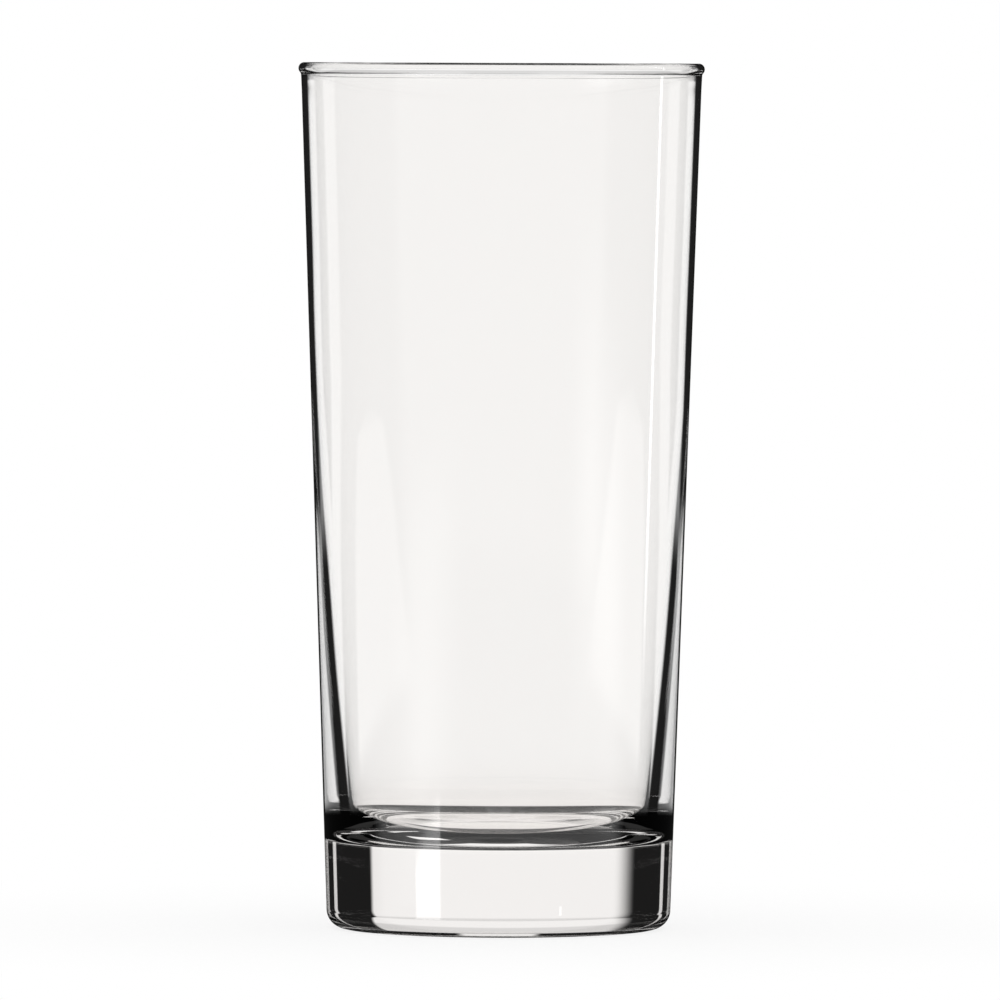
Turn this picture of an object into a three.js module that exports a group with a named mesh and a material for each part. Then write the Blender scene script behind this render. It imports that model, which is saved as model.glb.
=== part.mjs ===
// A tall clear drinking glass: a beaded rim, a tapering wall that gains thickness on its way
// down, and a heavy solid base with a rounded heel. Millimetres, +Z up, standing on z = 0.
import * as THREE from 'three';

// Driving dimensions
const glassHeight = 162;
const rimDiameter = 76;            // over the bead
const beadProudOutside = 0.45;     // how far the bead stands out past the wall
const beadProudInside = 0.3;       // and how far in
const footDiameter = 64.2;         // outside of the wall, carried down to the table
const wallTopThickness = 1.45;
const wallFootThickness = 5.15;    // where the wall stands on the base
const thickeningStart = 110;       // height below which the wall gains thickness
const baseHeight = 24;             // where the wall stands on the base
const floorHeight = 16;            // solid glass under the drink
const rimBandHeight = 3.2;         // the bead and the short neck under it
const heelRadius = 3.5;
const bearingRingInnerDiameter = 50;
const pushUpRise = 1.2;            // hollow of the underside, inside the bearing ring

// How finely the round shapes are cut
const turnSteps = 72;
const beadSteps = 14;
const wallSteps = 8;
const heelSteps = 5;
const filletSteps = 8;
const pushUpSteps = 4;

const rimSeam = glassHeight - rimBandHeight;
const beadThickness = beadProudOutside + wallTopThickness + beadProudInside;
const wallTopDiameter = rimDiameter - 2 * beadProudOutside;   // the wall carried up to the rim

// Half angle of the outside taper, and of the inside where it reaches the base
const outerTaper = (wallTopDiameter - footDiameter) / 2 / glassHeight;
const footGain = 2 * (wallFootThickness - wallTopThickness) / (thickeningStart - baseHeight);
const outerAngle = Math.atan(outerTaper);
const innerFootAngle = Math.atan(outerTaper + footGain);

function outerRadius(z) {
  return footDiameter / 2 + outerTaper * z;
}

// The inside runs parallel to the outside at the top, then bends inwards on a parabola.
function innerRadius(z) {
  const way = Math.max(0, thickeningStart - z) / (thickeningStart - baseHeight);
  const thickness = wallTopThickness + (wallFootThickness - wallTopThickness) * way ** 2;
  return outerRadius(z) - thickness;
}

const point = (r, z) => new THREE.Vector2(r, z);

// Points of a round stretch of a profile, its angles counted from straight outwards.
function arc(centreR, centreZ, radius, fromAngle, toAngle, steps) {
  return Array.from({ length: steps + 1 }, (_, i) => {
    const angle = fromAngle + (toAngle - fromAngle) * i / steps;
    return point(centreR + radius * Math.cos(angle), centreZ + radius * Math.sin(angle));
  });
}

// Turns a profile about the Z axis. A profile runs up the outside and down the inside.
function turn(name, profile) {
  const geometry = new THREE.LatheGeometry(profile, turnSteps);
  geometry.rotateX(Math.PI / 2);
  const material = new THREE.MeshStandardMaterial({ color: 0xf4f1ef, roughness: 0.03, metalness: 0 });
  const mesh = new THREE.Mesh(geometry, material);
  mesh.name = name;
  return mesh;
}

// The fire-polished bead stands proud of the wall on both sides, on a short neck.
function rimBead() {
  const radius = beadThickness / 2;
  const centreR = rimDiameter / 2 - radius;
  const centreZ = glassHeight - radius;
  const outerJoin = -Math.acos((outerRadius(centreZ) - centreR) / radius);
  const innerJoin = Math.PI + Math.acos((centreR - innerRadius(centreZ)) / radius);
  const seamOutside = point(outerRadius(rimSeam), rimSeam);
  const seamInside = point(innerRadius(rimSeam), rimSeam);
  return turn('rim_bead', [
    seamOutside,
    ...arc(centreR, centreZ, radius, outerJoin, innerJoin, beadSteps),
    seamInside,
    seamOutside,
  ]);
}

function sideWall() {
  const foot = point(outerRadius(baseHeight), baseHeight);
  const inside = Array.from({ length: wallSteps + 1 }, (_, i) => {
    const z = thickeningStart + (baseHeight - thickeningStart) * i / wallSteps;
    return point(innerRadius(z), z);
  });
  return turn('side_wall', [
    foot,
    point(outerRadius(rimSeam), rimSeam),
    point(innerRadius(rimSeam), rimSeam),
    ...inside,
    foot,
  ]);
}

// A thick disc: hollow underside, flat bearing ring, round heel, and a filleted floor on top.
function heavyBase() {
  const ringInner = bearingRingInnerDiameter / 2;
  const pushUpRadius = (ringInner ** 2 + pushUpRise ** 2) / (2 * pushUpRise);
  const pushUpEnd = Math.PI / 2 - Math.asin(ringInner / pushUpRadius);
  const heelCentreR = outerRadius(heelRadius * (1 - Math.sin(outerAngle))) - heelRadius * Math.cos(outerAngle);
  const filletRadius = (baseHeight - floorHeight) / (1 - Math.sin(innerFootAngle));
  const filletCentreR = innerRadius(baseHeight) - filletRadius * Math.cos(innerFootAngle);
  const filletCentreZ = floorHeight + filletRadius;
  return turn('heavy_base', [
    ...arc(0, pushUpRise - pushUpRadius, pushUpRadius, Math.PI / 2, pushUpEnd, pushUpSteps),
    ...arc(heelCentreR, heelRadius, heelRadius, -Math.PI / 2, -outerAngle, heelSteps),
    point(outerRadius(baseHeight), baseHeight),
    ...arc(filletCentreR, filletCentreZ, filletRadius, -innerFootAngle, -Math.PI / 2, filletSteps),
    point(0, floorHeight),
  ]);
}

const glass = new THREE.Group();
glass.name = 'cooler_glass';
glass.add(rimBead(), sideWall(), heavyBase());

export default glass;
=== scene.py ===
import math

import bpy
import numpy as np
from mathutils import Matrix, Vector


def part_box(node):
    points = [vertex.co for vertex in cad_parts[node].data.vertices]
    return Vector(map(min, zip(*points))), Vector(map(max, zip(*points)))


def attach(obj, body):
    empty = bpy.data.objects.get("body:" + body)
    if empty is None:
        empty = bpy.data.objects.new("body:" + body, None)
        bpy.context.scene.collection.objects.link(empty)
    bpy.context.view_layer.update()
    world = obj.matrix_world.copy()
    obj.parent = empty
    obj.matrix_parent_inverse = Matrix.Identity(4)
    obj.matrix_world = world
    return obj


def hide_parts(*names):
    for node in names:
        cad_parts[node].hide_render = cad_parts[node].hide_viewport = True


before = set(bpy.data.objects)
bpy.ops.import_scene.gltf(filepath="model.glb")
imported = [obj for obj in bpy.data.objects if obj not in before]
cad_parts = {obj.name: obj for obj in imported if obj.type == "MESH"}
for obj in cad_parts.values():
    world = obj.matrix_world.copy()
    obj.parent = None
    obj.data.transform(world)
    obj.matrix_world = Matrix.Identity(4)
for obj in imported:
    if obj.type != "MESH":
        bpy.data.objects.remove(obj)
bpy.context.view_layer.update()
scene = bpy.context.scene
scene.view_settings.view_transform = "Standard"
print("frame loaded:", ", ".join(sorted(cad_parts)))


# an output socket: sums on it add Math nodes to its tree
class Wire:
    def __init__(self, socket):
        self.socket = socket

    # adds any node: its type, its settings, its sockets' values or links, and which output to use
    @staticmethod
    def node(tree, kind, settings, sockets, output=0):
        made = tree.nodes.new(kind)
        for name, value in settings.items():
            setattr(made, name, value)
        for name, value in sockets.items():
            if isinstance(value, Wire):
                tree.links.new(value.socket, made.inputs[name])
            else:
                made.inputs[name].default_value = value
        return Wire(made.outputs[output]) if made.outputs else None

    # another output of the same node
    def other(self, output):
        return Wire(self.socket.node.outputs[output])

    def math(self, operation, first, second=0.0):
        tree = self.socket.id_data
        return Wire.node(tree, "ShaderNodeMath", {"operation": operation}, {0: first, 1: second})

    def __add__(self, value):
        return self.math("ADD", self, value)

    def __radd__(self, value):
        return self.math("ADD", value, self)

    def __sub__(self, value):
        return self.math("SUBTRACT", self, value)

    def __rsub__(self, value):
        return self.math("SUBTRACT", value, self)

    def __mul__(self, value):
        return self.math("MULTIPLY", self, value)

    def __rmul__(self, value):
        return self.math("MULTIPLY", value, self)

    def __abs__(self):
        return self.math("ABSOLUTE", self)

    # 0 below low, 1 above high, and a smooth rise between
    def rise(self, low, high):
        return Wire.node(
            self.socket.id_data, "ShaderNodeMapRange", {"interpolation_type": "SMOOTHSTEP"},
            {"Value": self, "From Min": low, "From Max": high},
        )

    # 1 between low and high, with soft ends
    def between(self, low, high, soft):
        return self.rise(low - soft, low + soft) * (1 - self.rise(high - soft, high + soft))

    # goes over to another value by a share from 0 to 1
    def toward(self, target, share):
        return self + (target - self) * share

    def orMore(self, value):
        return self.math("MAXIMUM", self, value)

    def clamp(self, low, high):
        return self.math("MINIMUM", self.orMore(low), high)

    def over(self, value):
        return self.math("GREATER_THAN", self, value)

    def below(self, value):
        return self.math("LESS_THAN", self, value)


def emptyTree(owner):
    owner.use_nodes = True
    owner.node_tree.nodes.clear()
    return owner.node_tree


# the glass, in metres
glassShape = {
    "wallTop": 0.00145,         # wall thickness at the rim
    "wallFoot": 0.00515,        # and where it stands on the base
    "thickeningStart": 0.110,   # height below which the wall gains thickness
    "beadProudOutside": 0.00045,
    "beadProudInside": 0.0003,
    "neckBlend": 0.0007,        # radius of the hollow under the bead
    "heelRadius": 0.0035,
    "floorHeight": 0.016,
    "floorDish": 0.0001,        # how far the middle of the floor sags
    "bearingInner": 0.025,      # inner radius of the ring that it stands on
    "pushUpRise": 0.0012,
    "ripple": 0.00003,          # how far the inside wanders from true
    # waves of the ripple: share, times round, radians for each metre up, start
    "waves": ((0.5, 2, 70, 1.3), (0.3, 3, -125, 0.4), (0.2, 5, 190, 2.1)),
}

# how many points each stretch of the half section has, and how many steps there are round the axis
glassSteps = {
    "turn": 300, "underside": 22, "ring": 5, "heel": 22, "outside": 60,
    "neck": 7, "bead": 44, "inside": 100, "fillet": 26, "floor": 22,
}

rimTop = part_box("rim_bead")[1]
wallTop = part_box("side_wall")[1]
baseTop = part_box("heavy_base")[1]
outerTaper = (wallTop.x - baseTop.x) / (wallTop.z - baseTop.z)


# straight line through the widest points of the base and the wall
def outerRadius(z):
    return baseTop.x + outerTaper * (z - baseTop.z)


# the outside less a thickness that grows with the square of the way down
def innerRadius(z):
    shape = glassShape
    way = np.maximum(0, shape["thickeningStart"] - z) / (shape["thickeningStart"] - baseTop.z)
    return outerRadius(z) - shape["wallTop"] - (shape["wallFoot"] - shape["wallTop"]) * way ** 2


# centre plus radius times cosine and sine of an evenly growing angle
def arc(centreR, centreZ, radius, start, end, count):
    angle = np.linspace(start, end, count)
    return np.stack([centreR + radius * np.cos(angle), centreZ + radius * np.sin(angle)], axis=1)


# rounded bead with a small hollow on each side, where two circles touch the wall and the bead
def rimProfile():
    shape = glassShape
    bead = (shape["beadProudOutside"] + shape["wallTop"] + shape["beadProudInside"]) / 2
    blend = shape["neckBlend"]
    beadR = rimTop.x - bead
    beadZ = rimTop.z - bead
    outR = outerRadius(beadZ) + blend
    outZ = beadZ - math.sqrt((bead + blend) ** 2 - (outR - beadR) ** 2)
    inR = innerRadius(beadZ) - blend
    inZ = beadZ - math.sqrt((bead + blend) ** 2 - (inR - beadR) ** 2)
    outJoin = math.atan2(outZ - beadZ, outR - beadR)
    inJoin = math.atan2(inZ - beadZ, inR - beadR) + 2 * math.pi
    return np.concatenate([
        arc(outR, outZ, blend, math.pi, outJoin + math.pi, glassSteps["neck"])[:-1],
        arc(beadR, beadZ, bead, outJoin, inJoin, glassSteps["bead"]),
        arc(inR, inZ, blend, inJoin - math.pi, 0, glassSteps["neck"])[1:],
    ])


# half section of the glass from the middle of the underside, up the outside and down the inside
def glassProfile():
    shape = glassShape
    steps = glassSteps
    slopeOut = math.atan(outerTaper)
    gain = 2 * (shape["wallFoot"] - shape["wallTop"]) / (shape["thickeningStart"] - baseTop.z)
    slopeIn = math.atan(outerTaper + gain)
    heel = shape["heelRadius"]
    heelR = outerRadius(heel * (1 - math.sin(slopeOut))) - heel * math.cos(slopeOut)
    fillet = (baseTop.z - shape["floorHeight"]) / (1 - math.sin(slopeIn))
    filletR = innerRadius(baseTop.z) - fillet * math.cos(slopeIn)

    way = np.linspace(0, 1, steps["underside"])[:-1]
    underside = np.stack([way * shape["bearingInner"], shape["pushUpRise"] * (1 - way ** 2) ** 2], axis=1)
    ringR = np.linspace(shape["bearingInner"], heelR, steps["ring"])[:-1]
    ring = np.stack([ringR, np.zeros(len(ringR))], axis=1)
    heelArc = arc(heelR, heel, heel, -math.pi / 2, -slopeOut, steps["heel"])
    rim = rimProfile()
    outZ = np.linspace(heelArc[-1, 1], rim[0, 1], steps["outside"])[1:-1]
    outside = np.stack([outerRadius(outZ), outZ], axis=1)
    inZ = np.linspace(rim[-1, 1], baseTop.z, steps["inside"])[1:-1]
    inside = np.stack([innerRadius(inZ), inZ], axis=1)
    filletArc = arc(filletR, shape["floorHeight"] + fillet, fillet, -slopeIn, -math.pi / 2, steps["fillet"])
    way = np.linspace(1, 0, steps["floor"])[1:]
    floorZ = shape["floorHeight"] - shape["floorDish"] * (1 - way ** 2) ** 2
    floor = np.stack([way * filletR, floorZ], axis=1)

    parts = [underside, ring, heelArc, outside, rim, inside, filletArc, floor]
    # the ripple fades in and out along the inside and is nothing elsewhere
    wander = [np.zeros(len(part)) for part in parts]
    wander[5] = np.sin(np.linspace(0, math.pi, len(inside))) ** 2
    return np.concatenate(parts), np.concatenate(wander)


# ripple of the inside by angle and height: slow sine waves, each whole numbers of times round
def ripple(angle, z):
    return sum(share * np.sin(times * angle + climb * z + start)
               for share, times, climb, start in glassShape["waves"])


# carries the half section round the axis: x and y are radius times cosine and sine of the turn
def buildGlass():
    profile, wander = glassProfile()
    steps = glassSteps["turn"]
    angle = np.linspace(0, 2 * math.pi, steps, endpoint=False)[None, :]
    ringR = profile[1:-1, :1]
    ringZ = profile[1:-1, 1:]
    radius = ringR + glassShape["ripple"] * wander[1:-1, None] * ripple(angle, ringZ)
    rings = np.stack([radius * np.cos(angle), radius * np.sin(angle), ringZ + 0 * angle], axis=2)
    poles = np.array([[0, 0, profile[0, 1]], [0, 0, profile[-1, 1]]])
    points = np.concatenate([rings.reshape(-1, 3), poles])

    count = len(ringR)
    here = np.arange(steps)
    after = (here + 1) % steps
    row = steps * np.arange(count - 1)[:, None]
    quads = np.stack([row + here, row + after, row + steps + after, row + steps + here], axis=2)
    lowPole = np.full(steps, count * steps)
    under = np.stack([lowPole, after, here], axis=1)
    last = steps * (count - 1)
    over = np.stack([lowPole + 1, last + here, last + after], axis=1)

    mesh = bpy.data.meshes.new("tumbler")
    mesh.from_pydata(points, [], quads.reshape(-1, 4).tolist() + under.tolist() + over.tolist())
    mesh.shade_smooth()
    made = bpy.data.objects.new("tumbler", mesh)
    scene.collection.objects.link(made)
    print("tumbler:", len(points), "points,", 2 * quads.shape[0] * steps + 2 * steps, "triangles")
    return made


# clear soda-lime glass: hardly any colour, a trace of haze, and the faint streaks of blown glass
clearGlass = {
    "thin": (0.96, 0.952, 0.943, 1),     # the wall
    "thick": (0.925, 0.902, 0.885, 1),   # the base
    "thickTop": (0.016, 0.03),           # heights over which one goes over to the other
    "ior": 1.52,
    "haze": 0.012,
    "hazeScale": 38,
    "hazeDetail": 3,
    "streakDepth": 0.00002,
    "streakStrength": 0.25,
    "streakScale": 95,
    "streakDetail": 1,
    "streakStretch": (1, 1, 0.22),
}


def buildClearGlass():
    glass = clearGlass
    look = bpy.data.materials.new("clearGlass")
    tree = emptyTree(look)
    place = Wire.node(tree, "ShaderNodeTexCoord", {}, {}, "Object")
    height = Wire.node(tree, "ShaderNodeSeparateXYZ", {}, {"Vector": place}, "Z")
    cloud = Wire.node(
        tree, "ShaderNodeTexNoise", {},
        {"Vector": place, "Scale": glass["hazeScale"], "Detail": glass["hazeDetail"]},
    )
    stretched = Wire.node(
        tree, "ShaderNodeMapping", {}, {"Vector": place, "Scale": glass["streakStretch"]},
    )
    streak = Wire.node(
        tree, "ShaderNodeTexNoise", {},
        {"Vector": stretched, "Scale": glass["streakScale"], "Detail": glass["streakDetail"]},
    )
    thickness = 1 - height.rise(*glass["thickTop"])
    tint = Wire.node(
        tree, "ShaderNodeMix", {"data_type": "RGBA"},
        {"Factor": thickness, 6: glass["thin"], 7: glass["thick"]}, 2,
    )
    bump = Wire.node(
        tree, "ShaderNodeBump", {},
        {"Height": streak, "Strength": glass["streakStrength"], "Distance": glass["streakDepth"]},
    )
    surface = Wire.node(
        tree, "ShaderNodeBsdfPrincipled", {},
        {
            "Base Color": tint, "Roughness": glass["haze"] * cloud, "Normal": bump,
            "IOR": glass["ior"], "Transmission Weight": 1.0,
        },
    )
    Wire.node(tree, "ShaderNodeOutputMaterial", {}, {"Surface": surface})
    return look


tumbler = buildGlass()
tumbler.data.materials.append(buildClearGlass())
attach(tumbler, "root")
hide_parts("rim_bead", "side_wall", "heavy_base")
print("glass dressed")


# The studio is a white set with black flags. What the glass shows of it depends on how a ray came
# through the glass, so each way has its own set. Angles are in degrees, down or up from level and
# turned from straight behind the glass, more than 0 to the right. A pair of angles is where an edge
# begins and ends, or where a flag, sheet or lamp does.
studio = {
    "flag": 0.012,   # how bright a flag looks
    "room": 0.05,    # and the room beyond the flags
}


# direction of a ray, as angles
class Sky:
    def __init__(self, tree):
        degrees = 180 / math.pi
        direction = Wire.node(tree, "ShaderNodeTexCoord", {}, {}, "Generated")
        x = Wire.node(tree, "ShaderNodeSeparateXYZ", {}, {"Vector": direction}, "X")
        self.up = degrees * x.math("ARCSINE", x.other("Z"))
        self.down = 0 - self.up
        self.turn = degrees * x.math("ARCTAN2", x, x.other("Y"))
        self.aside = abs(self.turn)
        self.fromBack = 90 - abs(self.aside - 90)     # 0 to the back and the front, 90 to the sides
        self.fromCorner = abs(self.fromBack - 45)     # 0 to the four corners
        self.offAxis = 45 - self.fromCorner           # 0 to the back, the front and the sides


# straight through the hollow of the glass: white, and close behind a dark table, painted shadow that stands
# for the glass's shadow on the pale table
hollowSet = {
    "paintedShadowDown": (28.8, 30.4),   # near edge of the painted shadow on the table
    "paintedShadowEnd": (20, 30),        # its ends to the sides
    "underDown": (58, 62),       # the painted shadow covers all from here down
}


def buildHollowSet(sky):
    # painted shadow: dark from the table's near edge down, across its width, and all round further down
    wide = (1 - sky.fromBack.rise(*hollowSet["paintedShadowEnd"])).orMore(sky.down.rise(*hollowSet["underDown"]))
    return 1 - (1 - studio["flag"]) * sky.down.rise(*hollowSet["paintedShadowDown"]) * wide


# straight through the solid base: a white sheet with a soft end and a sharp one, flags, white sides
baseSet = {
    "sheet": 36,             # half width of the sheet
    "sharpEnd": 1,           # half width of its sharp edge
    "softEnd": 5,            # and of its soft one
    "strip": (61.7, 66.0),   # white strip between two flags
    "stripSoft": 0.6,
    "sides": 76,             # where the white sides begin
    "fromAbove": (7, 9),     # further down, white corners take over
    "heelUp": (9, 13),       # the round heel looks up, where the sheet is darker
    "heelShade": 0.25,
}


def buildBaseSet(sky):
    sharp = baseSet["sharpEnd"]
    soft = sharp + (baseSet["softEnd"] - sharp) * sky.turn.below(0.0)
    sheet = 1 - (sky.fromBack - baseSet["sheet"]).rise(0 - soft, soft)
    sheet = sheet.orMore(sky.fromBack.between(*baseSet["strip"], baseSet["stripSoft"]))
    sheet = sheet.orMore((sky.fromBack - baseSet["sides"]).rise(-sharp, sharp))
    corners = 1 - (sky.fromCorner - baseSet["sheet"]).rise(-sharp, sharp)
    sheet = sheet.toward(corners, sky.down.rise(*baseSet["fromAbove"]))
    shade = 1 - baseSet["heelShade"] * sky.up.rise(*baseSet["heelUp"])
    return studio["flag"] + (1 - studio["flag"]) * sheet * shade


# turned back inside the wall: flags that lean outwards on their way down, white on both sides
wallSet = {
    "lean": 1.7,                 # how far the flags lean for each degree down
    "nearEdge": 12,              # near edge of a flag,
    "nearDown": (5.2, 6.6),      # where it opens,
    "nearRun": 9,                # and over how many degrees it leans from there
    "farEdge": 25,               # far edge,
    "farDown": 4,                # where it starts to lean,
    "farRun": 12,                # and over how many degrees
    "insideDown": (6, 16),       # white between the flags
    "insideSoft": 0.7,
    "outside": (1, 14),          # white beyond the far edge
    "outsideDown": (0.3, 17),
    "floorLine": (8, 11),        # half width of the white line along the edge of the floor
    "floorLineDown": (24, 50),
    "floorGap": (-45, -30),      # white gap in the dark band under that line
    "floorGapDown": (46, 61),
    "window": 0.9,               # pale windows high up at the four corners
    "windowHalf": (18, 26),
    "windowUp": (12, 50),
    "windowSoft": 3,
    "roomDown": (55, 62),        # the room is dark from here down
    "again": (6, 11),            # half width of the white that rays see after several turns
    "againDown": (5, 20),
    "againRoom": 0.6,            # share of the room's light that they see
    "front": (0.65, 0.3),        # how bright the front of the room is, higher and lower
    "frontFall": (11, 14),
    "frontTurn": (108, 122),
    "frontDown": (1, 20.5),
    "edge": 2,                   # half width of the flags' soft edges
    "soft": 1,                   # and of most others
}


def buildWallSet(sky, turns):
    flag = studio["flag"]
    edge = wallSet["edge"]
    soft = wallSet["soft"]
    lean = wallSet["lean"]
    near = wallSet["nearEdge"] * sky.down.rise(*wallSet["nearDown"])
    near = near + lean * (sky.down - wallSet["nearDown"][1]).clamp(0, wallSet["nearRun"])
    far = wallSet["farEdge"] + lean * (sky.down - wallSet["farDown"]).clamp(0, wallSet["farRun"])
    beyond = sky.offAxis - far

    white = 1 - (sky.offAxis - near).rise(-edge, edge)
    white = white * sky.down.between(*wallSet["insideDown"], wallSet["insideSoft"])
    outside = beyond.between(*wallSet["outside"], edge) * sky.down.between(*wallSet["outsideDown"], soft)
    line = (1 - sky.offAxis.rise(*wallSet["floorLine"])) * sky.down.between(*wallSet["floorLineDown"], edge)
    gap = sky.turn.between(*wallSet["floorGap"], soft) * sky.down.between(*wallSet["floorGapDown"], soft)
    window = wallSet["window"] * (1 - sky.fromCorner.rise(*wallSet["windowHalf"]))
    window = window * sky.up.between(*wallSet["windowUp"], wallSet["windowSoft"])
    white = white.orMore(outside).orMore(line).orMore(gap).orMore(window)

    lit = 1 - sky.down.rise(*wallSet["roomDown"])
    dim = flag + (studio["room"] - flag) * beyond.rise(-edge, edge) * lit
    once = dim.toward(1, white)
    again = (1 - sky.offAxis.rise(*wallSet["again"])) * sky.down.between(*wallSet["againDown"], soft)
    again = again.orMore(wallSet["againRoom"] * studio["room"] * lit)
    seen = once.toward(again, turns.over(1.5))

    high, low = wallSet["front"]
    front = high + (low - high) * sky.down.rise(*wallSet["frontFall"])
    inFront = sky.aside.rise(*wallSet["frontTurn"]) * sky.down.between(*wallSet["frontDown"], soft)
    return seen.toward(front, inFront)


# mirrored on the far side of the hollow: white near eye level, shaded far up and down, and painted shadow
# where the table goes dark
farSet = {
    "levelUp": (-26, 20),    # white between these heights
    "levelSoft": 10,
    "shade": 0.3,
    "shadeAside": (30, 60),  # the shade grows to the sides
    # painted shadow: the table goes dark from here down, standing for the glass's shadow on it
    "paintedShadowDown": (46, 52),
    "paintedShadowStrength": 0.97,
}


def buildFarSet(sky):
    shade = farSet["shade"] * (1 - sky.up.between(*farSet["levelUp"], farSet["levelSoft"]))
    white = 1 - shade * sky.fromBack.rise(*farSet["shadeAside"])
    return white * (1 - farSet["paintedShadowStrength"] * sky.down.rise(*farSet["paintedShadowDown"]))


# mirrored by the outside: dark close to the line of sight and in the base, and the lamps
mirrorSet = {
    "wallTip": 3.87,             # how far the leaning wall tips a mirrored view down
    "upperDark": (28, 34),       # dark up to here beside the upper wall
    "lowerDark": (14, 19),       # and beside the lower wall
    "lowerSight": (1.8, 2.15),   # how far down one looks at the lower wall
    "band": 38,                  # dark band beside the lower wall
    "bandHalf": 7,
    "bandSoft": 2,
    "bandSight": 2.2,            # where the band starts to lean,
    "bandLean": 20,              # how far for each degree down,
    "bandRun": 1.3,              # and over how many degrees
    "baseSight": (3.13, 3.2),    # how far down one looks at the base
    "baseDark": (88, 100),       # dark up to here beside it
}

# a strip for the long highlight, a card and a streak in the base, and soft patches low in the wall
lamps = {
    "strip": {"level": 4.0, "turn": (73.2, 75.6), "turnSoft": 0.5, "down": (-90, 4.7), "downSoft": 0.5},
    "card": {"level": 3.6, "turn": (-141, -123), "turnSoft": 1, "down": (6.8, 9.5), "downSoft": 0.1},
    "streak": {"level": 3.6, "turn": (137.1, 138.9), "turnSoft": 0.4, "down": (7.3, 8.6), "downSoft": 0.1},
    "leftPatch": {"level": 1.0, "turn": (-146, -116), "turnSoft": 15, "down": (5.5, 6.8), "downSoft": 0.5},
    "rightPatch": {"level": 1.3, "turn": (98.5, 129.5), "turnSoft": 10.5, "down": (4.6, 6), "downSoft": 0.8},
}


def buildMirrorSet(sky):
    halfAngle = sky.aside * (math.pi / 360)
    sight = sky.down - mirrorSet["wallTip"] * halfAngle.math("SINE", halfAngle)
    upper = sky.aside.rise(*mirrorSet["upperDark"])
    lean = mirrorSet["bandLean"] * (sight - mirrorSet["bandSight"]).clamp(0, mirrorSet["bandRun"])
    half = mirrorSet["bandHalf"]
    band = (sky.aside - mirrorSet["band"] - lean).between(-half, half, mirrorSet["bandSoft"])
    inBase = sight.rise(*mirrorSet["baseSight"]) * (1 - sky.aside.rise(*mirrorSet["baseDark"]))
    lower = sky.aside.rise(*mirrorSet["lowerDark"]) * (1 - band) * (1 - inBase)
    level = studio["flag"] + upper.toward(lower, sight.rise(*mirrorSet["lowerSight"]))
    for lamp in lamps.values():
        beam = lamp["level"] * sky.turn.between(*lamp["turn"], lamp["turnSoft"])
        level = level + beam * sky.down.between(*lamp["down"], lamp["downSoft"])
    return level


# sorts rays by how often they went in or out of the glass and how often it turned them back
def buildStudio():
    world = bpy.data.worlds.new("studio")
    scene.world = world
    tree = emptyTree(world)
    sky = Sky(tree)
    crossed = Wire.node(tree, "ShaderNodeLightPath", {}, {}, "Is Transmission Ray")
    mirrored = crossed.other("Is Glossy Ray") * (1 - crossed)
    turns = crossed.other("Glossy Depth")
    hollow = crossed.other("Transmission Depth").over(2.5)
    straight = buildBaseSet(sky).toward(buildHollowSet(sky), hollow)
    turned = buildWallSet(sky, turns).toward(buildFarSet(sky), hollow)
    seen = straight.toward(turned, turns.over(0.5))
    level = 1 + (seen - 1) * crossed + (buildMirrorSet(sky) - 1) * mirrored
    light = Wire.node(tree, "ShaderNodeBackground", {}, {"Color": (1, 1, 1, 1), "Strength": level})
    Wire.node(tree, "ShaderNodeOutputWorld", {}, {"Surface": light})


# pale table top: white to the camera, and it keeps a part of the shadow near the glass
table = {
    "half": 3.0,
    "colour": (0.9, 0.9, 0.9, 1),
    "shadow": 0.18,                # share of the shading that the camera sees
    "shadowReach": (0.04, 0.16),   # metres over which it fades
}


def buildTable():
    half = table["half"]
    corners = [(-half, -half, 0), (half, -half, 0), (half, half, 0), (-half, half, 0)]
    mesh = bpy.data.meshes.new("table")
    mesh.from_pydata(corners, [], [(0, 1, 2, 3)])
    made = bpy.data.objects.new("table", mesh)
    scene.collection.objects.link(made)
    look = bpy.data.materials.new("paleTable")
    tree = emptyTree(look)
    place = Wire.node(tree, "ShaderNodeTexCoord", {}, {}, "Object")
    away = Wire.node(tree, "ShaderNodeVectorMath", {"operation": "LENGTH"}, {0: place}, "Value")
    shade = table["shadow"] * (1 - away.rise(*table["shadowReach"]))
    ray = Wire.node(tree, "ShaderNodeLightPath", {}, {}, "Is Camera Ray")
    matt = Wire.node(tree, "ShaderNodeBsdfDiffuse", {}, {"Color": table["colour"]})
    white = Wire.node(tree, "ShaderNodeEmission", {}, {"Color": (1, 1, 1, 1), "Strength": 1.0})
    mixed = Wire.node(tree, "ShaderNodeMixShader", {}, {0: ray * (1 - shade), 1: matt, 2: white})
    Wire.node(tree, "ShaderNodeOutputMaterial", {}, {"Surface": mixed})
    mesh.materials.append(look)
    made.visible_transmission = False
    made.visible_glossy = False


buildStudio()
buildTable()
print("studio built")

# the photograph's camera, level with the rim
view = {
    "distance": 2.5,
    "height": 0.162,
    "aimHeight": 0.0802,
    "lens": 481.0,
    "sensor": 36.0,
    "clipEnd": 100,
    "roll": 0.22,   # degrees
}

camera = bpy.data.objects.new("camera", bpy.data.cameras.new("camera"))
scene.collection.objects.link(camera)
camera.data.lens = view["lens"]
camera.data.sensor_width = view["sensor"]
camera.data.clip_end = view["clipEnd"]
pitch = math.atan2(view["height"] - view["aimHeight"], view["distance"])
camera.matrix_world = (
    Matrix.Translation((0, -view["distance"], view["height"]))
    @ Matrix.Rotation(math.pi / 2 - pitch, 4, "X")
    @ Matrix.Rotation(math.radians(view["roll"]), 4, "Z")
)
scene.camera = camera
print("camera set")
